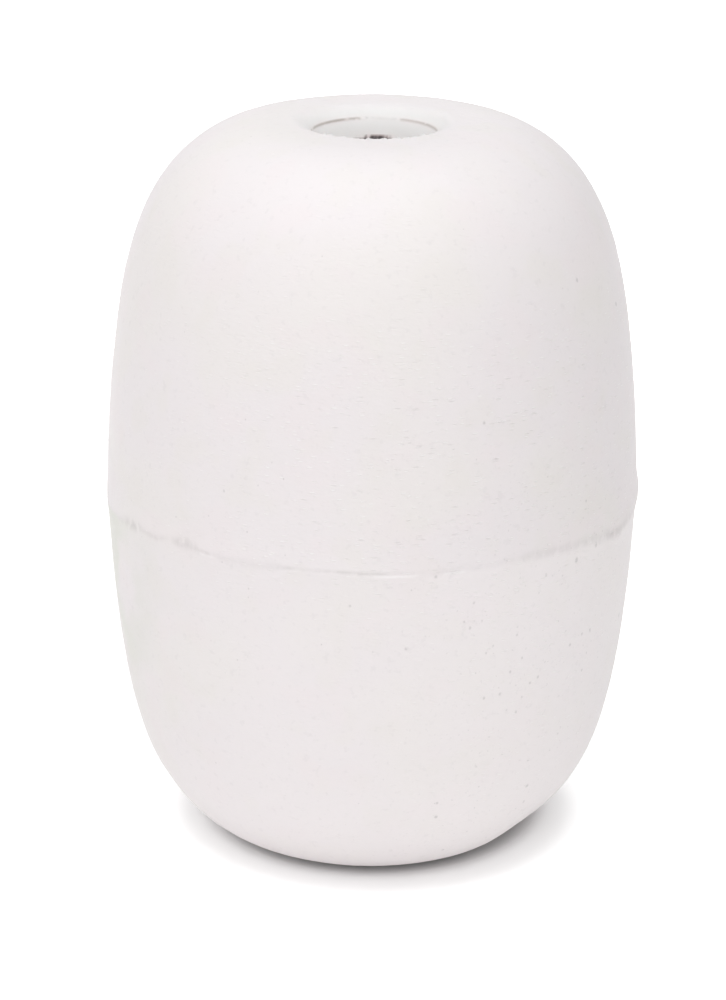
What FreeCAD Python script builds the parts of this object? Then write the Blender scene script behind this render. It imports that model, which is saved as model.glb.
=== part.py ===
import FreeCAD, Part
import math
import os

import Sketcher

# Net float: one barrel of closed-cell foam, moulded in two alike mould halves, with a
# straight rope bore on its long axis. It stands on its lower end, with +Z along the bore
# and the origin at the middle of that end. All sizes are in millimetres and degrees.

DRIVING_SIZES = [
    # name, value, what it measures
    ("overall_length", 149.0, "from one flat end to the other"),
    ("barrel_diameter", 108.0, "across the side, beside the bead at the parting line"),
    ("side_draft", 5.1, "taper of each half's straight side, away from the parting line"),
    ("haunch_end_angle", 41.8, "slope at which the round haunch turns into the shoulder"),
    ("end_flat_diameter", 44.0, "flat land on each end that the float stands on"),
    ("bore_diameter", 24.6, "rope hole"),
    ("mouth_width", 3.6, "flared mouth of the bore, from its rim to the flat end, across the axis"),
    ("mouth_depth", 2.4, "depth of that mouth below the flat end"),
    ("bead_width", 7.0, "swelling at the parting line, measured along the axis"),
    ("bead_height", 0.3, "how far the crest of the swelling stands out of the side"),
    ("seam_width", 1.2, "sunken V seam on the crest of the swelling, along the axis"),
    ("seam_depth", 0.3, "depth of the seam below that crest"),
]

doc = FreeCAD.newDocument("net_float")


# Driving dimensions

def make_sheet():
    """Put each driving size in a cell of its own and name the cell after it."""
    sheet = doc.addObject("Spreadsheet::Sheet", "sizes")
    for row, (name, value, note) in enumerate(DRIVING_SIZES, start=1):
        sheet.set("A%d" % row, name)
        sheet.set("B%d" % row, str(value))
        sheet.set("C%d" % row, note)
        sheet.setAlias("B%d" % row, name)
    doc.recompute()
    return sheet


sizes = make_sheet()


def size(name):
    """Value of a driving size, for the places where a sketch is first drawn."""
    return float(sizes.get(name))


# Small helpers for sketches

def origin_plane(body, role):
    for feature in body.Origin.OriginFeatures:
        if feature.Role == role:
            return feature
    raise RuntimeError("no origin plane with the role " + role)


def sketch_on(body, role, name):
    sketch = body.newObject("Sketcher::SketchObject", name)
    sketch.AttachmentSupport = [(origin_plane(body, role), "")]
    sketch.MapMode = "FlatFace"
    return sketch


def bind(sketch, constraint, name, expression):
    """Add a dimension to the sketch and tie it to the sheet."""
    index = sketch.addConstraint(constraint)
    sketch.renameConstraint(index, name)
    sketch.setExpression("Constraints." + name, expression)


def line(start, end):
    return Part.LineSegment(FreeCAD.Vector(*start, 0), FreeCAD.Vector(*end, 0))


def arc(centre, radius, start_degrees, end_degrees):
    circle = Part.Circle(FreeCAD.Vector(*centre, 0), FreeCAD.Vector(0, 0, 1), radius)
    return Part.ArcOfCircle(circle, math.radians(start_degrees), math.radians(end_degrees))


# Side profile of one mould half

def first_profile():
    """Where the lower half's profile is first drawn, close to where its dimensions put it.

    From the bead down, the straight side, the round haunch and the shoulder touch without
    a corner and end on the flat. The haunch is part of a ball that is centred on the axis.
    Adding up the heights gives the straight side's length, and the rest follows.
    """
    half_length = size("overall_length") / 2
    barrel = size("barrel_diameter") / 2
    flat = size("end_flat_diameter") / 2
    bead_foot = half_length - size("bead_width") / 2
    draft = math.radians(size("side_draft"))
    slope = math.radians(size("haunch_end_angle"))

    shoulder_share = flat * (1 - math.sin(slope)) / math.cos(slope)
    ball_share = (1 - math.sin(draft)) / math.cos(draft)
    drop = bead_foot + shoulder_share - barrel * ball_share
    straight = drop / (math.cos(draft) - math.sin(draft) * ball_share)
    ball = (barrel - straight * math.sin(draft)) / math.cos(draft)
    shoulder = ball - flat / math.cos(slope)

    side_end = (barrel - straight * math.sin(draft), bead_foot - straight * math.cos(draft))
    haunch_centre = (0, side_end[1] + ball * math.sin(draft))
    haunch_end = (ball * math.cos(slope), haunch_centre[1] - ball * math.sin(slope))
    return {
        "flat_end": (flat, 0),
        "shoulder_centre": (flat, shoulder),
        "shoulder_radius": shoulder,
        "haunch_end": haunch_end,
        "haunch_centre": haunch_centre,
        "haunch_radius": ball,
        "side_end": side_end,
        "bead_foot": (barrel, bead_foot),
        "crest": (barrel + size("bead_height"), half_length),
        "parting_middle": (0, half_length),
    }


def draw_half_profile(sketch):
    """Closed outline of the lower half, from the axis to the side, parting plane on top."""
    at = first_profile()
    draft = size("side_draft")
    slope = size("haunch_end_angle")

    base, shoulder, haunch, side, flare, parting, axis, spoke = range(8)
    sketch.addGeometry([
        line((0, 0), at["flat_end"]),
        arc(at["shoulder_centre"], at["shoulder_radius"], -90, -slope),
        arc(at["haunch_centre"], at["haunch_radius"], -slope, -draft),
        line(at["side_end"], at["bead_foot"]),
        line(at["bead_foot"], at["crest"]),
        line(at["crest"], at["parting_middle"]),
        line(at["parting_middle"], (0, 0)),
    ], False)
    sketch.addGeometry(line(at["haunch_centre"], at["haunch_end"]), True)

    start, end, centre = 1, 2, 3
    origin, root, upright = -1, 1, -2
    for constraint in [
        Sketcher.Constraint("Coincident", base, start, origin, root),
        Sketcher.Constraint("Horizontal", base),
        Sketcher.Constraint("Tangent", base, end, shoulder, start),
        Sketcher.Constraint("Tangent", shoulder, end, haunch, start),
        Sketcher.Constraint("Tangent", haunch, end, side, start),
        Sketcher.Constraint("PointOnObject", haunch, centre, upright),
        Sketcher.Constraint("Coincident", side, end, flare, start),
        Sketcher.Constraint("Coincident", flare, end, parting, start),
        Sketcher.Constraint("Horizontal", parting),
        Sketcher.Constraint("Coincident", parting, end, axis, start),
        Sketcher.Constraint("Vertical", axis),
        Sketcher.Constraint("Coincident", axis, end, base, start),
        Sketcher.Constraint("Coincident", spoke, start, haunch, centre),
        Sketcher.Constraint("Coincident", spoke, end, haunch, start),
    ]:
        sketch.addConstraint(constraint)

    flat = at["flat_end"][0]
    barrel, bead_foot = at["bead_foot"]
    crest, half_length = at["crest"]
    bind(sketch, Sketcher.Constraint("DistanceX", base, start, base, end, flat),
         "end_flat", "sizes.end_flat_diameter / 2")
    bind(sketch, Sketcher.Constraint("DistanceY", axis, end, axis, start, half_length),
         "half_length", "sizes.overall_length / 2")
    bind(sketch, Sketcher.Constraint("DistanceX", origin, root, side, end, barrel),
         "barrel", "sizes.barrel_diameter / 2")
    bind(sketch, Sketcher.Constraint("DistanceY", origin, root, side, end, bead_foot),
         "bead_foot", "sizes.overall_length / 2 - sizes.bead_width / 2")
    bind(sketch, Sketcher.Constraint("DistanceX", parting, end, parting, start, crest),
         "crest", "sizes.barrel_diameter / 2 + sizes.bead_height")
    bind(sketch, Sketcher.Constraint("Angle", spoke, -math.radians(slope)),
         "haunch_slope", "-sizes.haunch_end_angle")
    bind(sketch, Sketcher.Constraint("Angle", side, math.radians(90 - draft)),
         "side_slope", "90 - sizes.side_draft")


# Float body, made feature by feature

def make_halves(body):
    """Lower half turned about the axis, and its mirror image above the parting plane."""
    profile = sketch_on(body, "XZ_Plane", "half_profile")
    draw_half_profile(profile)
    lower = body.newObject("PartDesign::Revolution", "lower_half")
    lower.Profile = profile
    lower.ReferenceAxis = (profile, ["V_Axis"])
    lower.Angle = 360

    parting = body.newObject("PartDesign::Plane", "parting_plane")
    parting.AttachmentSupport = [(origin_plane(body, "XY_Plane"), "")]
    parting.MapMode = "FlatFace"
    parting.setExpression("AttachmentOffset.Base.z", "sizes.overall_length / 2")
    doc.recompute()

    upper = body.newObject("PartDesign::Mirrored", "upper_half")
    upper.Originals = [lower]
    upper.MirrorPlane = (parting, [""])
    body.Tip = upper
    doc.recompute()


def make_seam(body):
    """Shallow V groove on the crest of the swelling, right at the parting plane."""
    width = size("seam_width")
    depth = size("seam_depth")
    crest = size("barrel_diameter") / 2 + size("bead_height")
    middle = size("overall_length") / 2
    # the V is drawn twice as deep as it cuts, so its open side lies clear of the crest
    tip = (crest - depth, middle)
    upper = (crest + depth, middle + width)
    lower = (crest + depth, middle - width)

    section = sketch_on(body, "XZ_Plane", "seam_section")
    upper_flank, open_side, lower_flank = range(3)
    section.addGeometry([line(tip, upper), line(upper, lower), line(lower, tip)], False)
    start, end = 1, 2
    origin, root = -1, 1
    for constraint in [
        Sketcher.Constraint("Coincident", upper_flank, end, open_side, start),
        Sketcher.Constraint("Coincident", open_side, end, lower_flank, start),
        Sketcher.Constraint("Coincident", lower_flank, end, upper_flank, start),
        Sketcher.Constraint("Vertical", open_side),
        Sketcher.Constraint("Equal", upper_flank, lower_flank),
    ]:
        section.addConstraint(constraint)
    bind(section, Sketcher.Constraint("DistanceX", origin, root, upper_flank, start, tip[0]),
         "tip", "sizes.barrel_diameter / 2 + sizes.bead_height - sizes.seam_depth")
    bind(section, Sketcher.Constraint("DistanceY", origin, root, upper_flank, start, middle),
         "middle", "sizes.overall_length / 2")
    bind(section, Sketcher.Constraint("DistanceX", upper_flank, start, upper_flank, end, 2 * depth),
         "depth_drawn", "2 * sizes.seam_depth")
    bind(section, Sketcher.Constraint("DistanceY", open_side, end, open_side, start, 2 * width),
         "width_drawn", "2 * sizes.seam_width")

    seam = body.newObject("PartDesign::Groove", "parting_seam")
    seam.Profile = section
    seam.ReferenceAxis = (section, ["V_Axis"])
    seam.Angle = 360
    doc.recompute()


def make_mouths(body):
    """Shallow funnel in the middle of the lower end, and its mirror image in the upper end."""
    depth = size("mouth_depth")
    bore_rim = (size("bore_diameter") / 2, depth)
    outer_edge = (bore_rim[0] + size("mouth_width"), 0)

    section = sketch_on(body, "XZ_Plane", "mouth_section")
    end_side, flank, inner_side, axis = range(4)
    section.addGeometry([
        line((0, 0), outer_edge),
        line(outer_edge, bore_rim),
        line(bore_rim, (0, depth)),
        line((0, depth), (0, 0)),
    ], False)
    start, end = 1, 2
    origin, root = -1, 1
    for constraint in [
        Sketcher.Constraint("Coincident", end_side, start, origin, root),
        Sketcher.Constraint("Horizontal", end_side),
        Sketcher.Constraint("Coincident", end_side, end, flank, start),
        Sketcher.Constraint("Coincident", flank, end, inner_side, start),
        Sketcher.Constraint("Horizontal", inner_side),
        Sketcher.Constraint("Coincident", inner_side, end, axis, start),
        Sketcher.Constraint("Vertical", axis),
        Sketcher.Constraint("Coincident", axis, end, end_side, start),
    ]:
        section.addConstraint(constraint)
    bind(section, Sketcher.Constraint("DistanceX", end_side, start, end_side, end, outer_edge[0]),
         "outer_edge", "sizes.bore_diameter / 2 + sizes.mouth_width")
    bind(section, Sketcher.Constraint("DistanceX", inner_side, end, inner_side, start, bore_rim[0]),
         "bore_rim", "sizes.bore_diameter / 2")
    bind(section, Sketcher.Constraint("DistanceY", axis, end, axis, start, depth),
         "depth", "sizes.mouth_depth")

    lower = body.newObject("PartDesign::Groove", "lower_mouth")
    lower.Profile = section
    lower.ReferenceAxis = (section, ["V_Axis"])
    lower.Angle = 360
    doc.recompute()

    upper = body.newObject("PartDesign::Mirrored", "upper_mouth")
    upper.Originals = [lower]
    upper.MirrorPlane = (doc.getObject("parting_plane"), [""])
    body.Tip = upper
    doc.recompute()


def make_bore(body):
    """Rope hole that the mould's core pin left, open at both ends."""
    section = sketch_on(body, "XY_Plane", "bore_section")
    radius = size("bore_diameter") / 2
    circle = Part.Circle(FreeCAD.Vector(0, 0, 0), FreeCAD.Vector(0, 0, 1), radius)
    section.addGeometry(circle, False)
    section.addConstraint(Sketcher.Constraint("Coincident", 0, 3, -1, 1))
    bind(section, Sketcher.Constraint("Radius", 0, radius), "bore", "sizes.bore_diameter / 2")

    bore = body.newObject("PartDesign::Pocket", "rope_bore")
    bore.Profile = section
    bore.Type = "ThroughAll"
    bore.Reversed = True
    doc.recompute()


def make_float_body():
    body = doc.addObject("PartDesign::Body", "float_body")
    body.Label = "float_body"
    make_halves(body)
    make_seam(body)
    make_mouths(body)
    make_bore(body)
    return body


# Check and save

def check_document():
    doc.recompute()
    for item in doc.Objects:
        if "Invalid" in item.State or "Error" in item.State:
            raise RuntimeError("%s failed: %s" % (item.Name, item.State))


def check_shape(body):
    shape = body.Shape
    if shape.isNull() or not shape.isValid() or len(shape.Solids) != 1:
        raise RuntimeError(body.Label + " is not one valid solid")
    bore_radius = size("bore_diameter") / 2
    drilled = Part.makeCylinder(bore_radius * 0.99, size("overall_length"))
    if shape.common(drilled).Volume > 1e-6:
        raise RuntimeError("the bore is not open")


float_body = make_float_body()
check_document()
check_shape(float_body)

os.makedirs("parts", exist_ok=True)
float_body.Shape.exportStep("parts/%s.step" % float_body.Label)

box = float_body.Shape.optimalBoundingBox(True)
print("%s: %.1f x %.1f x %.1f mm, %.0f cm3, %d faces" % (
    float_body.Label, box.XLength, box.YLength, box.ZLength,
    float_body.Shape.Volume / 1000, len(float_body.Shape.Faces)))
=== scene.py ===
"""The look of a moulded foam net float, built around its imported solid.

Lengths are in millimetres until a mesh is made. Azimuths are in degrees, 0 towards the camera and
rising to the camera's right. Heights are above the surface that the float stands on.
"""

import math

import bpy
import numpy as np
from mathutils import Euler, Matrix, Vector, noise


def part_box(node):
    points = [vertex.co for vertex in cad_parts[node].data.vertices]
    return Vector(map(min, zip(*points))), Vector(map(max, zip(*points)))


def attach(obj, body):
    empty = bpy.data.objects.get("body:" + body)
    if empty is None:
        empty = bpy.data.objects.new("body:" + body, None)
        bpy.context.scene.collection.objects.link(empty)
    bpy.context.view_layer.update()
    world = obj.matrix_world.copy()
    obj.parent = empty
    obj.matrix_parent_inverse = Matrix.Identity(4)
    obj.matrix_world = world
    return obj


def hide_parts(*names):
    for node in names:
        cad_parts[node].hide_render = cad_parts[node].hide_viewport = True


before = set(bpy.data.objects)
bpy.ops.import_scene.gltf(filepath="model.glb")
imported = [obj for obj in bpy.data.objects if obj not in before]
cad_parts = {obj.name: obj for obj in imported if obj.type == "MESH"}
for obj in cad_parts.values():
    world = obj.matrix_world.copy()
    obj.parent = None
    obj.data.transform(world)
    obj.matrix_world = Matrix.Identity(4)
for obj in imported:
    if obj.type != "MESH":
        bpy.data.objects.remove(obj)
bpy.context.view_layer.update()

MM = 0.001
BOX_LOW, BOX_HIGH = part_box("float_body")
LENGTH = (BOX_HIGH.z - BOX_LOW.z) / MM
PARTING_HEIGHT = LENGTH / 2

# Sizes of the float's section
BARREL_RADIUS = 53.95
BORE_RADIUS = 12.3
MOUTH_DEPTH = 2.4
MOUTH_SLOPE = 60
MOUTH_WIDTH = MOUTH_DEPTH / math.tan(math.radians(MOUTH_SLOPE / 2))
END_FLAT_RADIUS = 21.4
SIDE_DRAFT = 2.1
# Radii beyond this are on the float's side and haunches
SIDE_FROM_RADIUS = 40

# The curve from the side to the end: it is tightest at the shoulder, and its radius of curvature grows
# towards the haunch and again towards the straight side, each over an angle of its own
SHOULDER_RADIUS = 22.5
HAUNCH_GAIN = 112.0
HAUNCH_ANGLE = 15.5
SIDE_GAIN = 1000.0
SIDE_ANGLE = 3.4
# Points along the section before it is cut into rows: on the outer curve, the end and mouth, and the bore
CURVE_POINTS = 1200
END_POINTS = 60
BORE_POINTS = 400

# Mesh spacing: columns round the float, and the distance between rows from place to place
COLUMNS = 330
SIDE_STEP = 1.15
SEAM_STEP = 0.22
SEAM_ZONE = 2.4
SEAM_BLEND = 3
# Distances from the mouth's inner edge, and the step between rows there, down the bore and out over the end
BORE_ROWS = ((0.5, 2, 8, 20), (0.14, 0.45, 0.7, 6.0))
MOUTH_ROWS = ((0.5, 2, 6, 10), (0.14, 0.4, 0.6, SIDE_STEP))
# A radius this near the bore's is on its wall
ON_WALL = 0.01

# The table: half its width, and its tone under the float, a painted contact shadow, and in the open
TABLE_HALF = 4000
TABLE_SHADOW_TONE = 0.55
TABLE_TONE = 0.96
# Where the float's painted shadow on the table fades to white, in two rings: centre, inner and outer radius
SHADOW_RINGS = (((0.9, 4.5, 0.0), 33.5, 38.3), ((1.2, 2.3, 0.0), 37.3, 46.0))
# The strength that the table gains over each ring, and from there to the far table
RING_GLOW = 0.24
FAR_GLOW = 0.5
FAR_FADE = (60.0, 400.0)
# Where the painted contact shadow under the float gives way to the open tone: radii from the first ring's
# centre
CONTACT_SHADOW_EDGE = (31.0, 35.5)

# Strength of the room's light: all round, and what the left and the front add
FILL_ALL_ROUND = 0.335
FILL_FROM_LEFT = 0.26
FILL_FROM_FRONT = 0.92
# Lamps: place and width in metres, power in watts, and tint
LAMPS = (
    ("overhead_softbox", (0, 0, 1.2), 1.0, 5.35, (0.955, 1, 1)),
    ("high_left_softbox", (-0.45, -0.45, 1.15), 0.7, 0.8, (1, 1, 1)),
)

# Camera, from the outline in the photograph
CAMERA_DISTANCE = 596.8
CAMERA_RISE = 210.9
CAMERA_PITCH = 19.864
CAMERA_ROLL = 0.366
CAMERA_YAW = 0.171
CAMERA_LENS = 111.5
CAMERA_NEAR = 10
SENSOR = 36.0
PHOTO_WIDTH = 726
PHOTO_HEIGHT = 1000
# The steps by which a line of sight is followed to the float, and the most of them that are taken
SIGHT_STEP = 0.05
SIGHT_STEPS = 4000

# How far the noise pattern moves on each axis from one seed to the next, and how many octaves it has
SEED_SHIFT = (17.3, 5.1, 9.7)
SOFT_OCTAVES = 2
FINE_OCTAVES = 3


def smooth(low, high, value):
    """0 below low, 1 above high, and an even ramp between."""
    t = np.clip((value - low) / (high - low), 0, 1)
    return t * t * (3 - 2 * t)


def bell(value, centre, width):
    """1 at centre, falling to nothing beyond about two widths."""
    return np.exp(-(((value - centre) / width) ** 2))


def quarter_turn():
    """The outer curve of the upper half, from the parting plane to the edge of the end flat."""
    angles = np.radians(np.linspace(SIDE_DRAFT, 90, CURVE_POINTS))
    lean = np.degrees(angles)
    radii = SHOULDER_RADIUS + HAUNCH_GAIN * np.exp(-lean / HAUNCH_ANGLE)
    radii = radii + SIDE_GAIN * np.exp(-lean / SIDE_ANGLE)
    step = np.diff(angles)
    middle = (angles[1:] + angles[:-1]) / 2
    arc = (radii[1:] + radii[:-1]) / 2 * step
    inward = np.concatenate([[0], np.cumsum(arc * np.sin(middle))])
    upward = np.concatenate([[0], np.cumsum(arc * np.cos(middle))])
    inward *= (BARREL_RADIUS - END_FLAT_RADIUS) / inward[-1]
    upward *= (LENGTH / 2) / upward[-1]
    return BARREL_RADIUS - inward, PARTING_HEIGHT + upward


def upper_half_curve():
    """The upper half of the section: side, shoulder, end flat, flared mouth and bore."""
    radius, height = quarter_turn()
    mouth_edge = BORE_RADIUS + MOUTH_WIDTH
    flare = MOUTH_DEPTH / (1 - math.cos(math.radians(MOUTH_SLOPE)))
    flat = np.linspace(END_FLAT_RADIUS, mouth_edge, END_POINTS)[1:]
    turn = np.radians(np.linspace(0, MOUTH_SLOPE, END_POINTS)[1:])
    bore = np.linspace(LENGTH - MOUTH_DEPTH, PARTING_HEIGHT, BORE_POINTS)[1:]
    radius = np.concatenate([
        radius,
        flat,
        mouth_edge - flare * np.sin(turn),
        np.full(len(bore), BORE_RADIUS),
    ])
    height = np.concatenate([
        height,
        np.full(len(flat), LENGTH),
        LENGTH - flare * (1 - np.cos(turn)),
        bore,
    ])
    return radius, height


def row_step(radius, height):
    """The wanted distance between rows at a place on the section."""
    from_rim = math.hypot(radius - BORE_RADIUS, height - (LENGTH - MOUTH_DEPTH))
    if radius < BORE_RADIUS + ON_WALL:
        return float(np.interp(from_rim, *BORE_ROWS))
    if radius < END_FLAT_RADIUS:
        return float(np.interp(from_rim, *MOUTH_ROWS))
    from_seam = height - PARTING_HEIGHT
    return float(np.interp(from_seam, (SEAM_ZONE, SEAM_ZONE + SEAM_BLEND), (SEAM_STEP, SIDE_STEP)))


def section_rows():
    """The closed section as rows of radius, height and outward normal, starting at the parting plane."""
    radius, height = upper_half_curve()
    path = np.concatenate([[0], np.cumsum(np.hypot(np.diff(radius), np.diff(height)))])
    along = [0.0]
    while along[-1] < path[-1]:
        here = along[-1]
        step = row_step(np.interp(here, path, radius), np.interp(here, path, height))
        along.append(here + step)
    along = np.array(along) * path[-1] / along[-1]
    radius = np.interp(along, path, radius)
    height = np.interp(along, path, height)
    radius = np.concatenate([radius, radius[-2:0:-1]])
    height = np.concatenate([height, LENGTH - height[-2:0:-1]])
    run_radius = np.roll(radius, -1) - np.roll(radius, 1)
    run_height = np.roll(height, -1) - np.roll(height, 1)
    size = np.hypot(run_radius, run_height)
    return radius, height, run_height / size, -run_radius / size


def fractal(points, scale, octaves, seed):
    """Smooth noise from about -1 to 1 at each point, with features of about the given size."""
    offset = Vector([seed * shift for shift in SEED_SHIFT])
    values = [
        noise.fractal(Vector(p) / scale + offset, 1.0, 2.0, octaves, noise_basis="PERLIN_ORIGINAL")
        for p in points.reshape(-1, 3)
    ]
    return np.array(values).reshape(points.shape[:-1])


def wave(points, kind):
    """The height of a slow wave at each point."""
    height, size, squeeze, seed = kind
    return height * fractal(points * np.array([1, 1, squeeze]), size, SOFT_OCTAVES, seed)


def patches(points, kind):
    """0 to 1, for how much each point is in a soft patch."""
    size, octaves, seed, low, high = kind
    return smooth(low, high, fractal(points, size, octaves, seed))


def around(azimuth, knots):
    """A smooth value round the float, through (azimuth, value) knots."""
    places = np.array([k[0] for k in knots], float)
    values = np.array([k[1] for k in knots], float)
    places = np.concatenate([places - 360, places, places + 360])
    values = np.tile(values, 3)
    index = np.clip(np.searchsorted(places, azimuth) - 1, 0, len(places) - 2)
    t = (azimuth - places[index]) / (places[index + 1] - places[index])
    t = t * t * (3 - 2 * t)
    return values[index] * (1 - t) + values[index + 1] * t


# The lists from here to the one for the depth of the bore's painted shade hold knots of azimuth and
# value, set from the photograph for the near side and made up in its manner for the far side
# How far the parting line strays above the parting plane
LINE_RISE = (
    (-75, -1.9), (-67, -1.6), (-63, -0.9), (-57, -0.3), (-51, -0.5), (-46, 0.4), (-41, 0.7),
    (-36, 0.1), (-27, -0.1), (-17, 0.15), (-8, 0.1), (5, -0.1), (20, 0.0), (33, 0.25),
    (42, -0.1), (49, -0.45), (56, -1.3), (64, -2.4), (71, -1.5), (82, 0.0), (100, 0.2),
    (140, -0.5), (175, 0.4), (215, -0.2), (250, 0.3),
)
# Depth of the groove
GROOVE_DEPTH = (
    (-76, 0.04), (-66, 0.12), (-60, 0.22), (-54, 0.08), (-43, 0.16), (-36, 0.12), (-30, 0.04),
    (-20, 0.05), (-17, 0.14), (-13, 0.05), (-9, 0.16), (4, 0.20), (10, 0.04), (16, 0.10),
    (22, 0.05), (30, 0.06), (38, 0.14), (50, 0.16), (62, 0.28), (72, 0.16), (80, 0.05),
    (100, 0.10), (140, 0.22), (180, 0.12), (220, 0.22), (250, 0.10),
)
# Half width of the groove
GROOVE_WIDTH = (
    (-76, 0.6), (-60, 1.2), (-54, 0.6), (-48, 0.6), (-41, 1.4), (-36, 0.4), (-30, 1.0),
    (-20, 1.0), (-17, 0.4), (-9, 0.32), (3, 0.30), (8, 0.5), (16, 0.8), (27, 0.7),
    (36, 1.3), (47, 1.2), (60, 1.3), (68, 1.2), (76, 0.6), (110, 0.6), (150, 1.2),
    (190, 0.6), (230, 1.2), (260, 0.6),
)
# How dark the groove is painted, as painted shade in its crease
GROOVE_SHADE = (
    (-76, 0.0), (-70, 0.1), (-66, 0.45), (-60, 1.0), (-55, 0.35), (-51.5, 0.7), (-47, 0.25),
    (-43, 0.8), (-38, 0.7), (-36, 0.6), (-33, 0.3), (-19, 0.3), (-17, 0.8), (-15, 0.3),
    (-10, 0.3), (-8, 0.8), (1, 0.8), (4, 0.1), (13, 0.1), (16, 0.55), (19, 0.12),
    (30, 0.12), (34, 0.5), (45, 0.45), (56, 0.6), (62, 1.0), (68, 0.6), (74, 0.35),
    (79, 0.0), (100, 0.1), (140, 0.7), (180, 0.2), (220, 0.6), (255, 0.2),
)
# How pale the lower lip of the groove is painted, a painted highlight where it faces up to the light
LIP_HIGHLIGHT = (
    (-180, 0.0), (-40, 0.0), (-36, 0.4), (-33, 0.0), (-1, 0.0), (3, 0.8), (8, 0.6),
    (10, 0.0), (14, 0.0), (16, 0.7), (18, 0.7), (20, 0.0), (179, 0.0),
)
# Height of the soft ridge that carries the line
RIDGE_HEIGHT = (
    (-90, 0.15), (-45, 0.2), (0, 0.15), (45, 0.25), (90, 0.45), (135, 0.2), (180, 0.3),
    (225, 0.2),
)
# How dark the line is round the inner edge of the mouth, as painted shade along that edge
RIM_SHADE = (
    (-180, 0.15), (-165, 0.6), (-140, 0.75), (-100, 0.6), (-60, 0.2), (-20, 0.1), (25, 0.1),
    (70, 0.3), (110, 0.6), (150, 0.5), (165, 0.1),
)
# Depth below the end at which the bore's wall turns dark, as painted shade deep in the bore
BORE_SHADE_DEPTH = (
    (-180, 5.6), (-173, 5.7), (-168, 6.3), (-160, 6.1), (-150, 6.7), (-140, 8.0), (-110, 18.0),
    (-60, 28.0), (60, 28.0), (110, 18.0), (140, 8.0), (150, 6.8), (158, 6.1), (164, 6.3),
    (170, 5.7),
)

# The parting line's fine wander: its height, feature size and seed, and the radius of the ring it is read on
LINE_WANDER = 0.12
WANDER_SIZE = 5.0
WANDER_SEED = 4
WANDER_RADIUS = 40
# How far up and down from the line its rise is carried, and how wide its ridge is
RISE_REACH = 9.0
RIDGE_WIDTH = 2.4
# Slow waves of the whole body, and then of its outside alone: height, size, squeeze along the axis, seed
BODY_WAVE = (0.09, 24.0, 1, 1)
SKIN_WAVES = ((0.05, 8.0, 1, 2), (0.03, 2.6, 1.5, 3))
# Crumbs: their size and seed, and their height at the mouth's inner edge and on the near lip
CRUMB_SIZE = 0.9
CRUMB_SEED = 6
RIM_CRUMBS = 0.05
RIM_CRUMB_WIDTH = 0.6
LIP_CRUMBS = 0.7
# The near lip: how far out from the bore it is, how wide, and how it starts towards the camera
LIP_FROM_BORE = 2.4
LIP_WIDTH = 0.8
LIP_FACING = (0.3, 0.9)
# How far the foot is pressed in on the right, where, and how near the table its lowest points come
PRESSED_FOOT = 1.0
PRESSED_AZIMUTH = (57, 14)
PRESSED_HEIGHT = (9, 8)
TABLE_GAP = 0.02

# How far the groove's painted shade spreads, as a share of the groove's half width
GROOVE_SHADE_SPREAD = 0.9
# The painted highlight on the groove's lower lip: its height above the line, and its width
LIP_HIGHLIGHT_PLACE = (-0.5, 0.22)
# The edge of the painted shade in the bore: how far it wanders, its feature size, its seed, and how soft it
# is
SHADE_EDGE_WANDER = 0.7
SHADE_EDGE_SIZE = 1.5
SHADE_EDGE_SEED = 8
SHADE_EDGE_SOFTNESS = 0.6
# The stain: its azimuth and width, the heights between which it comes in, and where it ends at the line
STAIN_AZIMUTH = (-74, 17)
STAIN_HEIGHT = (28, 50)
STAIN_END = (-0.5, 0.8)
# Painted bounce light from the table: the lower half is painted paler, most on the right and near the foot.
# Where it ends at the line, and how strong it is
BOUNCE_LIGHT_END = (-1.5, 0.5)
BOUNCE_LIGHT_ALL_ROUND = 0.10
BOUNCE_LIGHT_ON_RIGHT = 0.45
BOUNCE_LIGHT_AT_FOOT = 0.4
FOOT_HEIGHT = (6, 36)
# The right side comes in between these shares of the way from the axis to the side
RIGHT_SIDE = (-0.1, 0.7)
# How far out from the bore its paler tone (painted light against the mouth's shade) and the light through
# the foam reach, and how wide its rim line is
MOUTH_LIGHT_EDGE = (0.2, 3.4)
LIT_EDGE = (1.5, 4.2)
RIM_LINE_WIDTH = 0.22
# Soft patches: feature size, octaves, seed, and the noise levels between which a patch comes in
STAIN_PATCHES = (12.0, FINE_OCTAVES, 9, -0.5, 0.4)
WARM_PATCHES = (26.0, SOFT_OCTAVES, 11, -0.2, 0.6)
YELLOWED_PATCHES = (8.0, SOFT_OCTAVES, 12, 0.1, 0.5)
FLUSHED_PATCHES = (9.0, SOFT_OCTAVES, 13, 0.1, 0.5)
# The zone above the line where the skin is most dented: its lower and upper edge, and how strong dents are
DENTED_FROM = (60, 76)
DENTED_TO = (108, 130)
DENTED_ALL_ROUND = 0.22
DENTED_LOW_RIGHT = 0.33
DENTED_IN_ZONE = 0.32
DENTED_NEAR_MIDDLE = 0.39
DENTED_FROM_LEFT = (-0.7, 0.1)
# The share of pits away from the right side, and the heights between which pits end
PITTED_ALL_ROUND = 0.25
PITTED_TO = (75, 110)

# The skin: its coarse peel, the depth in millimetres of a dent of depth 1, and how flat dents are
PEEL = 0.41
DENT_DEPTH = 0.135
DENT_STRETCH = (1, 1, 4.2)
# Kinds of dent, raised where the depth is below 0: cell size, shift of the pattern, radius as a share of
# the cell, share of cells with one, depth
DENT_KINDS = (
    (3.6, 0.0, 0.26, 0.55, 1.0),
    (2.8, 7.7, 0.22, 0.30, 0.8),
    (2.8, 3.3, 0.28, 0.70, -1.0),
)
# How dark a pit is, and how pits are stretched along the axis
PIT_DARKNESS = 0.30
PIT_STRETCH = 0.8
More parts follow.
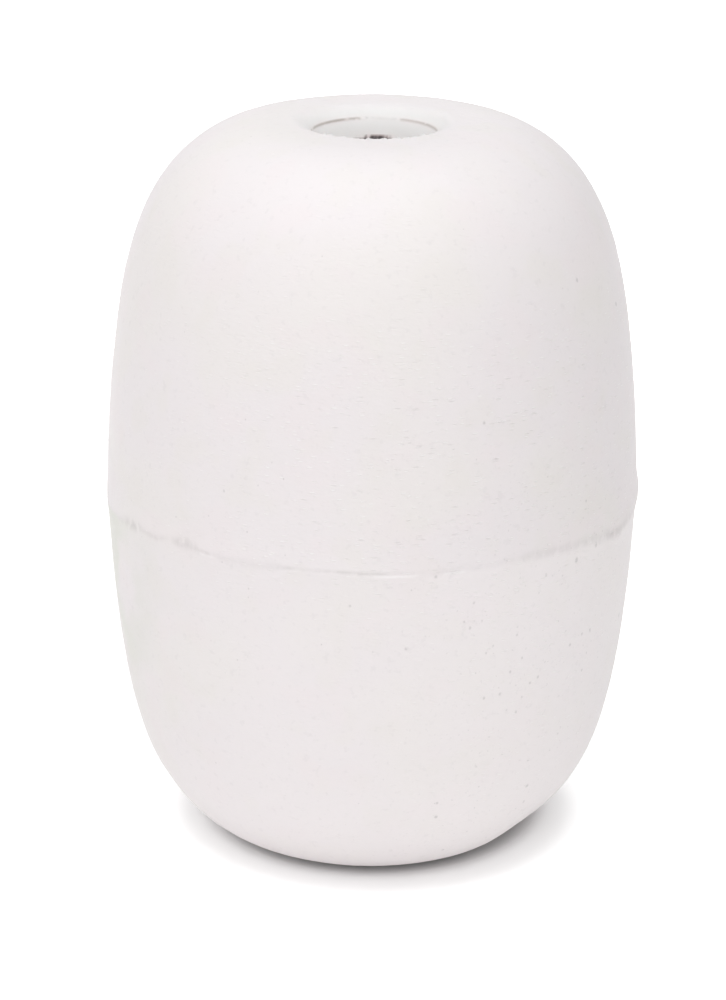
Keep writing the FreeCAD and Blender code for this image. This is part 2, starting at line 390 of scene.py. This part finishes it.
# Scattered pits: cell size, inner and outer radius as shares of the cell, share of cells with one all
# round, what a pitted place adds to it, and the faintest pit
PIT_CELL = 1 / 0.42
PIT_RADII = (0.02, 0.10)
PIT_SHARE = 0.10
PIT_SHARE_GAIN = 0.6
FAINTEST_PIT = 0.3
# Pits seen: feature size and height of their uneven edge, and how soft the edge is
PIT_EDGE_SIZE = 0.5
PIT_EDGE_HEIGHT = 0.3
PIT_EDGE = (-0.1, 0.35)
# How far light spreads through the foam to the bore's wall
GLOW_REACH = 50.0

# Dents in the photograph: where they are in its pixels, and their width and depth in millimetres
DENTS_SEEN = (
    (436, 577, 0.8, 0.25), (187, 545, 2.2, 0.20), (612, 536, 2.0, 0.25), (158, 543, 1.2, 0.15),
)
# Small dark pits in the photograph: where they are in its pixels, and their radius in millimetres
PITS_SEEN = (
    (577, 280, 0.32), (484, 423, 0.26), (616, 304, 0.36), (586, 501, 0.22), (576, 560, 0.46),
    (595, 545, 0.38), (436, 577, 0.30), (350, 606, 0.19), (474, 603, 0.22), (464, 622, 0.22),
    (470, 628, 0.22), (406, 649, 0.24), (546, 575, 0.24), (619, 615, 0.38), (527, 786, 0.36),
    (437, 803, 0.24), (436, 817, 0.33), (482, 621, 0.15), (517, 635, 0.20), (493, 646, 0.18),
    (486, 653, 0.17), (522, 658, 0.20), (510, 672, 0.22), (538, 677, 0.26), (530, 683, 0.24),
    (500, 694, 0.26), (484, 698, 0.24), (522, 697, 0.20), (516, 712, 0.24), (590, 630, 0.30),
    (570, 645, 0.28), (582, 634, 0.26), (582, 670, 0.22), (224, 491, 0.16), (443, 850, 0.28),
)


def seam_relief(azimuth, from_line):
    """The soft ridge at the parting line, and the groove along its crest."""
    ridge = around(azimuth, RIDGE_HEIGHT) * bell(from_line, 0, RIDGE_WIDTH)
    groove = around(azimuth, GROOVE_DEPTH) * bell(from_line, 0, around(azimuth, GROOVE_WIDTH))
    return ridge - groove


def camera_turn():
    """The camera's rotation: its pitch and small yaw, and then its roll about its own axis."""
    look = Euler((math.radians(90 - CAMERA_PITCH), 0, math.radians(CAMERA_YAW)), "XYZ").to_matrix()
    roll = Euler((0, 0, math.radians(CAMERA_ROLL)), "XYZ").to_matrix()
    return look @ roll


def seen_point(px, py):
    """The point of the float's side, in millimetres, that a pixel of the photograph shows."""
    focal = CAMERA_LENS / SENSOR * PHOTO_HEIGHT
    ray = camera_turn() @ Vector((px - PHOTO_WIDTH / 2, PHOTO_HEIGHT / 2 - py, -focal)).normalized()
    eye = Vector((0, -CAMERA_DISTANCE, PARTING_HEIGHT + CAMERA_RISE))
    half_radius, half_height = quarter_turn()
    for step in range(SIGHT_STEPS):
        point = eye + ray * (CAMERA_DISTANCE - 2 * BARREL_RADIUS + SIGHT_STEP * step)
        level = PARTING_HEIGHT + abs(point.z - PARTING_HEIGHT)
        if level < LENGTH and math.hypot(point.x, point.y) < np.interp(level, half_height, half_radius):
            return tuple(point)
    raise ValueError("the pixel (%g, %g) doesn't show the float" % (px, py))


def make_float():
    """The whole float as one closed mesh, with its relief, and the marks that its material reads."""
    radius, height, out_radial, out_up = section_rows()
    azimuth = np.linspace(-180, 180, COLUMNS, endpoint=False)
    turn = np.radians(azimuth)[None, :]
    east = np.sin(turn)
    north = -np.cos(turn)
    r = radius[:, None] + 0 * turn
    z = height[:, None] + 0 * turn
    across = azimuth[None, :] + 0 * z
    out_radial = out_radial[:, None]
    outward = np.stack([out_radial * east, out_radial * north, out_up[:, None] + 0 * turn], -1)
    from_end = np.minimum(z, LENGTH - z)
    in_bore = r < BORE_RADIUS + ON_WALL
    outside = ~in_bore * 1.0
    on_side = (r > SIDE_FROM_RADIUS) * 1.0

    ring = np.stack([WANDER_RADIUS * east[0], WANDER_RADIUS * north[0], 0 * azimuth], -1)
    rise = around(azimuth, LINE_RISE) + LINE_WANDER * fractal(ring, WANDER_SIZE, FINE_OCTAVES, WANDER_SEED)
    from_line = z - PARTING_HEIGHT
    z = z + on_side * rise[None, :] * bell(from_line, 0, RISE_REACH)
    place = np.stack([r * east, r * north, z], axis=-1)

    lift = on_side * seam_relief(across, from_line) + wave(place, BODY_WAVE)
    for skin_wave in SKIN_WAVES:
        lift += outside * wave(place, skin_wave)
    for px, py, width, depth in DENTS_SEEN:
        centre = np.array(seen_point(px, py))
        lift -= depth * np.exp(-((place - centre) ** 2).sum(-1) / width**2)

    rim_height = LENGTH - MOUTH_DEPTH
    from_rim = np.hypot(r - BORE_RADIUS, np.abs(z - PARTING_HEIGHT) + PARTING_HEIGHT - rim_height)
    near_lip = outside * bell(r, BORE_RADIUS + LIP_FROM_BORE, LIP_WIDTH) * smooth(*LIP_FACING, -north)
    crumbs = RIM_CRUMBS * bell(from_rim, 0, RIM_CRUMB_WIDTH) + LIP_CRUMBS * near_lip
    crumbs = crumbs * fractal(place, CRUMB_SIZE, FINE_OCTAVES, CRUMB_SEED)
    lift -= PRESSED_FOOT * bell(across, *PRESSED_AZIMUTH) * bell(z, *PRESSED_HEIGHT)
    place = place + outward * lift[..., None]
    place[..., 2] = np.maximum(place[..., 2] + np.sign(from_line) * crumbs, TABLE_GAP)

    # Painted shade in the groove along the parting line
    shaded_width = GROOVE_SHADE_SPREAD * around(across, GROOVE_WIDTH)
    groove_shade = on_side * bell(from_line, 0, shaded_width) * around(across, GROOVE_SHADE)
    # Painted shade deep in the bore's wall, below an uneven edge
    shade_wander = fractal(place, SHADE_EDGE_SIZE, FINE_OCTAVES, SHADE_EDGE_SEED)
    shade_depth = around(across, BORE_SHADE_DEPTH) + SHADE_EDGE_WANDER * shade_wander
    bore_shade = in_bore * smooth(0, SHADE_EDGE_SOFTNESS, from_end - shade_depth)
    # Painted highlight on the groove's lower lip
    lip_highlight = on_side * bell(from_line, *LIP_HIGHLIGHT_PLACE) * around(across, LIP_HIGHLIGHT)
    stain = on_side * bell(across, *STAIN_AZIMUTH) * smooth(*STAIN_HEIGHT, z)
    stain = stain * (1 - smooth(*STAIN_END, from_line)) * patches(place, STAIN_PATCHES)
    right_side = smooth(*RIGHT_SIDE, east) + 0 * z
    # Painted bounce light from the table, paler low down and on the right
    bounce_share = BOUNCE_LIGHT_ALL_ROUND + BOUNCE_LIGHT_ON_RIGHT * right_side
    bounce_share += BOUNCE_LIGHT_AT_FOOT * (1 - smooth(*FOOT_HEIGHT, z))
    low = 1 - smooth(*DENTED_FROM, z)
    zone = (1 - low) * (1 - smooth(*DENTED_TO, z))
    zone_share = DENTED_IN_ZONE + DENTED_NEAR_MIDDLE * smooth(*DENTED_FROM_LEFT, east)
    dented = DENTED_LOW_RIGHT * low * right_side + (zone_share - DENTED_ALL_ROUND) * zone
    pitted = PITTED_ALL_ROUND + (1 - PITTED_ALL_ROUND) * right_side
    marks = {
        # painted bounce light from the table on the lower half
        "painted_bounce_light": outside * bounce_share * (1 - smooth(*BOUNCE_LIGHT_END, from_line)),
        # painted shade in the parting line's groove
        "groove_shade": groove_shade,
        # painted shade deep in the bore
        "bore_shade": bore_shade,
        # painted light: the mouth's flare and bore wall painted paler against their shade
        "painted_mouth_light": 1 - smooth(*MOUTH_LIGHT_EDGE, r - BORE_RADIUS),
        "lit_through": 1 - smooth(*LIT_EDGE, r - BORE_RADIUS),
        # painted highlight on the groove's lower lip
        "painted_lip_highlight": lip_highlight,
        "stain": stain,
        # painted shade along the mouth's inner edge
        "rim_line": bell(from_rim, 0, RIM_LINE_WIDTH) * around(across, RIM_SHADE),
        "warm": patches(place, WARM_PATCHES),
        "yellowed": patches(place, YELLOWED_PATCHES),
        "flushed": patches(place, FLUSHED_PATCHES),
        "dented": DENTED_ALL_ROUND + on_side * dented,
        "pitted": pitted * (1 - smooth(*PITTED_TO, z)) * on_side,
    }
    return place, marks


def mesh_object(name, place, marks):
    """A closed grid of rows by columns as a mesh object, with one float attribute for each mark."""
    rows, columns = place.shape[:2]
    index = np.arange(rows * columns).reshape(rows, columns)
    below = np.roll(index, -1, axis=0)
    corners = [index, np.roll(index, -1, axis=1), np.roll(below, -1, axis=1), below]
    faces = np.stack([c.ravel() for c in corners], -1)
    mesh = bpy.data.meshes.new(name)
    mesh.from_pydata((place.reshape(-1, 3) * MM).tolist(), [], faces.tolist())
    mesh.polygons.foreach_set("use_smooth", [True] * len(faces))
    for mark, values in marks.items():
        attribute = mesh.attributes.new(mark, "FLOAT", "POINT")
        attribute.data.foreach_set("value", np.clip(values, 0, 1).astype(np.float32).ravel())
    mesh.update()
    obj = bpy.data.objects.new(name, mesh)
    bpy.context.scene.collection.objects.link(obj)
    return obj


class Shader:
    """The node tree of a material or world, with short names for the nodes that are used here."""

    def __init__(self, owner):
        owner.use_nodes = True
        self.nodes = owner.node_tree.nodes
        self.links = owner.node_tree.links
        self.nodes.clear()

    def add(self, kind, inputs=None, **settings):
        node = self.nodes.new(kind)
        for key, value in settings.items():
            setattr(node, key, value)
        for key, value in (inputs or {}).items():
            socket = node.inputs[key]
            if isinstance(value, bpy.types.NodeSocket):
                self.links.new(value, socket)
            else:
                socket.default_value = value
        return node

    def math(self, operation, first, second):
        return self.add("ShaderNodeMath", {0: first, 1: second}, operation=operation).outputs[0]

    def mix(self, share, first, second):
        node = self.add("ShaderNodeMix", {0: share, 6: first, 7: second}, data_type="RGBA")
        return node.outputs[2]

    def ramp(self, value, low, high, top=1.0):
        """An even rise from nothing at low to top at high."""
        inputs = {0: value, 1: low, 2: high, 4: top}
        return self.add("ShaderNodeMapRange", inputs, interpolation_type="SMOOTHSTEP").outputs[0]

    def mark(self, name):
        return self.add("ShaderNodeAttribute", attribute_name=name).outputs["Fac"]

    def seen(self):
        """1 on a ray that the camera sees, straight, in a reflection or through glass."""
        path = self.add("ShaderNodeLightPath")
        straight = self.math("MAXIMUM", path.outputs["Is Camera Ray"], path.outputs["Is Glossy Ray"])
        return self.math("MAXIMUM", straight, path.outputs["Is Transmission Ray"])

    def stretched(self, scale):
        """Object coordinates in millimetres, times a scale on each axis."""
        where = self.add("ShaderNodeTexCoord").outputs["Object"]
        factor = tuple(s / MM for s in scale)
        return self.add("ShaderNodeVectorMath", {0: where, 1: factor}, operation="MULTIPLY").outputs[0]

    def noise(self, size, detail=2.0, stretch=(1, 1, 1)):
        """Noise from 0 to 1, with features of about the given size in millimetres."""
        inputs = {"Vector": self.stretched(stretch), "Scale": 1.0 / size, "Detail": detail}
        return self.add("ShaderNodeTexNoise", inputs).outputs["Fac"]

    def spots(self, size, low, high):
        """Spots of noise, coming in between two of its levels."""
        return self.ramp(self.noise(size), low, high)

    def cells(self, where, size):
        """A cell pattern: the distance from each cell's own point, and three even chances for the cell."""
        inputs = {"Vector": where, "Scale": 1 / size, "Randomness": 1.0}
        node = self.add("ShaderNodeTexVoronoi", inputs)
        chances = self.add("ShaderNodeSeparateColor", {"Color": node.outputs["Color"]})
        return node.outputs["Distance"], chances.outputs


def colour(red, green, blue):
    return (red, green, blue, 1.0)


def grey(level):
    return colour(level, level, level)


# Tones of the foam: clean skin from rosy to creamy, and what is laid over it, as mark, strength and tone
ROSY = colour(0.850, 0.800, 0.808)
CREAMY = colour(0.850, 0.806, 0.796)
BROAD_TONES = (
    ("yellowed", 0.3, colour(0.830, 0.790, 0.755)),
    ("flushed", 0.4, colour(0.860, 0.790, 0.800)),
    # Painted bounce light from the table on the lower half
    ("painted_bounce_light", 1.0, colour(0.930, 0.878, 0.878)),
)
LOCAL_TONES = (
    ("stain", 0.7, colour(0.765, 0.765, 0.700)),
    # Painted light: the mouth's flare and bore wall painted paler against their shade
    ("painted_mouth_light", 1.0, colour(0.99, 0.885, 0.87)),
    # Painted highlight on the groove's lower lip
    ("painted_lip_highlight", 0.6, colour(0.99, 0.97, 0.97)),
)
SMUDGE = colour(0.55, 0.52, 0.53)
SMUDGE_STRENGTH = 0.10
# Painted shade in the parting line's groove, and how strong it is
GROOVE_SHADE_TONE = colour(0.42, 0.39, 0.38)
GROOVE_SHADE_STRENGTH = 0.30
# Painted shade along the mouth's inner edge
RIM_LINE = colour(0.20, 0.18, 0.15)
# Near-black painted shade deep in the bore, and how strong it is
BORE_SHADE_TONE = colour(0.07, 0.065, 0.065)
BORE_SHADE_STRENGTH = 0.93
PIT = colour(0.25, 0.23, 0.23)
# Painted glint on raised specks, and how strong it is
SPECK_GLINT = colour(0.97, 0.94, 0.94)
SPECK_GLINT_STRENGTH = 0.73
ROUGHNESS = 0.46
ROUGHNESS_RANGE = 0.12
ROUGHNESS_SIZE = 5
GLOSS = 0.25

# Patterns of spots: feature size, and the noise levels between which a spot comes in
SMUDGE_SPOTS = (1.3, 0.58, 0.76)
RIM_LINE_BREAKS = (2.2, 0.25, 0.5)
SPECKS = (0.8, 0.66, 0.78)
SPECK_STRENGTH = 0.7
# The groove's painted shade: feature size, detail, stretch, and the noise levels between which it comes in
GROOVE_SHADE_SIZE = 2.2
GROOVE_SHADE_DETAIL = 4
GROOVE_SHADE_STRETCH = (1.5, 1.5, 0.8)
GROOVE_SHADE_LEVELS = (0.25, 0.58)
# The peel's feature size and stretch, and how high a raised speck stands where its painted glint starts
PEEL_SIZE = 1.2
PEEL_STRETCH = (1, 1, 2.0)
GLINT_HEIGHT = (-0.05, -0.5)


def foam_material():
    """Closed-cell foam with its moulding skin: near white, a little pink, pebbled and lightly soiled, with
    painted shade and painted light in its colour.
    """
    material = bpy.data.materials.new("moulded_foam")
    s = Shader(material)
    tone = s.mix(s.mark("warm"), ROSY, CREAMY)
    for mark, strength, over in BROAD_TONES:
        tone = s.mix(s.math("MULTIPLY", s.mark(mark), strength), tone, over)
    smudge = s.math("MULTIPLY", s.spots(*SMUDGE_SPOTS), SMUDGE_STRENGTH)
    tone = s.mix(smudge, tone, SMUDGE)
    for mark, strength, over in LOCAL_TONES:
        tone = s.mix(s.math("MULTIPLY", s.mark(mark), strength), tone, over)

    # Patchy painted shade in the groove along the parting line
    patchy = s.ramp(s.noise(GROOVE_SHADE_SIZE, GROOVE_SHADE_DETAIL, GROOVE_SHADE_STRETCH), *GROOVE_SHADE_LEVELS)
    groove_shade = s.math("MULTIPLY", s.mark("groove_shade"), patchy)
    tone = s.mix(s.math("MULTIPLY", groove_shade, GROOVE_SHADE_STRENGTH), tone, GROOVE_SHADE_TONE)
    # A broken line of painted shade along the mouth's inner edge
    rim_line = s.math("MULTIPLY", s.mark("rim_line"), s.spots(*RIM_LINE_BREAKS))
    tone = s.mix(rim_line, tone, RIM_LINE)
    # Painted shade deep in the bore
    tone = s.mix(s.math("MULTIPLY", s.mark("bore_shade"), BORE_SHADE_STRENGTH), tone, BORE_SHADE_TONE)

    speck = s.math("MULTIPLY", s.spots(*SPECKS), s.mark("pitted"))
    scattered = s.math("MAXIMUM", random_pits(s), s.math("MULTIPLY", speck, SPECK_STRENGTH))
    pits = s.math("MAXIMUM", pits_seen(s), scattered)
    tone = s.mix(s.math("MULTIPLY", pits, PIT_DARKNESS), tone, PIT)

    peel = s.math("MULTIPLY", s.noise(PEEL_SIZE, stretch=PEEL_STRETCH), PEEL)
    hollow = s.math("MULTIPLY", dents(s), s.mark("dented"))
    height = s.math("SUBTRACT", peel, hollow)
    # Painted glint on the raised specks
    speck_glint = s.ramp(hollow, *GLINT_HEIGHT)
    tone = s.mix(s.math("MULTIPLY", speck_glint, SPECK_GLINT_STRENGTH), tone, SPECK_GLINT)
    bump = s.add("ShaderNodeBump", {"Strength": 1.0, "Distance": DENT_DEPTH * MM, "Height": height})
    lit_through = s.math("MULTIPLY", s.mark("lit_through"), s.math("SUBTRACT", 1.0, rim_line))
    uneven_gloss = s.math("MULTIPLY", s.noise(ROUGHNESS_SIZE), ROUGHNESS_RANGE)

    inputs = {
        "Base Color": tone,
        "Roughness": s.math("ADD", ROUGHNESS, uneven_gloss),
        "Specular IOR Level": GLOSS,
        "Subsurface Weight": lit_through,
        "Subsurface Radius": (1, 1, 1),
        "Subsurface Scale": GLOW_REACH * MM,
        "Normal": bump.outputs[0],
    }
    body = s.add("ShaderNodeBsdfPrincipled", inputs)
    s.add("ShaderNodeOutputMaterial", {"Surface": body.outputs[0]})
    return material


def dents(s):
    """Short level dents and raised specks in the skin, each in a cell of its own."""
    total = None
    for size, shift, radius, share, depth in DENT_KINDS:
        where = s.stretched(DENT_STRETCH)
        moved = s.add("ShaderNodeVectorMath", {0: where, 1: (shift, shift, shift)}, operation="ADD")
        distance, chances = s.cells(moved.outputs[0], size)
        dent = s.math("SUBTRACT", depth, s.ramp(distance, 0.0, radius, depth))
        dent = s.math("MULTIPLY", dent, s.math("LESS_THAN", chances[0], share))
        total = dent if total is None else s.math("ADD", total, dent)
    return total


def random_pits(s):
    """Pinholes where cells broke through the skin, most of them low on the right."""
    distance, chances = s.cells(s.stretched((1, 1, PIT_STRETCH)), PIT_CELL)
    pit = s.math("SUBTRACT", 1.0, s.ramp(distance, *PIT_RADII))
    share = s.math("ADD", PIT_SHARE, s.math("MULTIPLY", s.mark("pitted"), PIT_SHARE_GAIN))
    pit = s.math("MULTIPLY", pit, s.math("LESS_THAN", chances[0], share))
    depth = s.math("ADD", FAINTEST_PIT, s.math("MULTIPLY", chances[1], 1 - FAINTEST_PIT))
    return s.math("MULTIPLY", pit, depth)


def pits_seen(s):
    """The pits that the photograph shows, each a dark spot with an uneven edge."""
    where = s.stretched((1, 1, PIT_STRETCH))
    nearest = None
    for px, py, radius in PITS_SEEN:
        x, y, z = seen_point(px, py)
        apart = s.add("ShaderNodeVectorMath", {0: where, 1: (x, y, PIT_STRETCH * z)}, operation="DISTANCE")
        gap = s.math("SUBTRACT", apart.outputs["Value"], radius)
        nearest = gap if nearest is None else s.math("MINIMUM", nearest, gap)
    uneven = s.math("MULTIPLY", s.noise(PIT_EDGE_SIZE), PIT_EDGE_HEIGHT)
    return s.math("SUBTRACT", 1.0, s.ramp(s.math("ADD", nearest, uneven), *PIT_EDGE))


def floor_material():
    """A plain white table to the camera, but for the float's shadow near its foot, partly cast, partly
    painted.
    """
    material = bpy.data.materials.new("white_table")
    s = Shader(material)
    where = s.stretched((1, 1, 1))
    strength = 0.0
    # Painted shadow: the glow is held back in two rings round the float's foot
    for centre, inner, outer in SHADOW_RINGS:
        apart = s.add("ShaderNodeVectorMath", {0: where, 1: centre}, operation="DISTANCE").outputs["Value"]
        strength = s.math("ADD", s.math("MULTIPLY", s.ramp(apart, inner, outer), RING_GLOW), strength)
    far = s.math("MULTIPLY", s.ramp(apart, *FAR_FADE), FAR_GLOW)
    strength = s.math("MULTIPLY", s.seen(), s.math("ADD", strength, far))
    # Painted contact shadow: a darker tone under the float
    under = s.add("ShaderNodeVectorMath", {0: where, 1: SHADOW_RINGS[0][0]}, operation="DISTANCE")
    open_table = s.ramp(under.outputs["Value"], *CONTACT_SHADOW_EDGE)
    tone = s.mix(open_table, grey(TABLE_SHADOW_TONE), grey(TABLE_TONE))
    diffuse = s.add("ShaderNodeBsdfDiffuse", {"Color": tone})
    glow = s.add("ShaderNodeEmission", {"Color": grey(1), "Strength": strength})
    both = s.add("ShaderNodeAddShader", {0: diffuse.outputs[0], 1: glow.outputs[0]})
    s.add("ShaderNodeOutputMaterial", {"Surface": both.outputs[0]})
    return material


def make_floor():
    half = TABLE_HALF * MM
    corners = [(-half, -half, 0), (half, -half, 0), (half, half, 0), (-half, half, 0)]
    mesh = bpy.data.meshes.new("table_top")
    mesh.from_pydata(corners, [], [(0, 1, 2, 3)])
    floor = bpy.data.objects.new("table_top", mesh)
    bpy.context.scene.collection.objects.link(floor)
    mesh.materials.append(floor_material())


def make_world():
    """An even white room: plain white where it is seen or reflected, and a plain fill on the float."""
    world = bpy.data.worlds.new("white_room")
    s = Shader(world)
    towards = s.add("ShaderNodeSeparateXYZ", {0: s.add("ShaderNodeTexCoord").outputs["Generated"]})
    left = s.math("MAXIMUM", s.math("MULTIPLY", towards.outputs[0], -FILL_FROM_LEFT), 0.0)
    front = s.math("MAXIMUM", s.math("MULTIPLY", towards.outputs[1], -FILL_FROM_FRONT), 0.0)
    strength = s.math("ADD", FILL_ALL_ROUND, s.math("ADD", left, front))
    fill = s.add("ShaderNodeBackground", {"Color": grey(1), "Strength": strength})
    white = s.add("ShaderNodeBackground", {"Color": grey(1), "Strength": 1.0})
    choose = s.add("ShaderNodeMixShader", {0: s.seen(), 1: fill.outputs[0], 2: white.outputs[0]})
    s.add("ShaderNodeOutputWorld", {"Surface": choose.outputs[0]})
    bpy.context.scene.world = world


def area_lamp(name, place, target, size, power, tint):
    lamp = bpy.data.lights.new(name, "AREA")
    lamp.shape = "DISK"
    lamp.size = size
    lamp.energy = power
    lamp.color = tint
    obj = bpy.data.objects.new(name, lamp)
    bpy.context.scene.collection.objects.link(obj)
    obj.location = place
    obj.rotation_euler = (Vector(target) - Vector(place)).to_track_quat("-Z", "Y").to_euler()


def make_lamps():
    middle = (0, 0, PARTING_HEIGHT * MM)
    for name, place, size, power, tint in LAMPS:
        area_lamp(name, place, middle, size, power, tint)


def make_camera():
    data = bpy.data.cameras.new("photo_camera")
    data.sensor_fit = "VERTICAL"
    data.sensor_height = SENSOR
    data.lens = CAMERA_LENS
    data.clip_start = CAMERA_NEAR * MM
    camera = bpy.data.objects.new("photo_camera", data)
    bpy.context.scene.collection.objects.link(camera)
    camera.location = (0, -CAMERA_DISTANCE * MM, (PARTING_HEIGHT + CAMERA_RISE) * MM)
    camera.rotation_euler = camera_turn().to_euler()
    bpy.context.scene.camera = camera


bpy.context.scene.view_settings.view_transform = "Standard"
place, marks = make_float()
foam_float = mesh_object("foam_float", place, marks)
foam_float.data.materials.append(foam_material())
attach(foam_float, "root")
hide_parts("float_body")
make_floor()
make_world()
make_lamps()
make_camera()
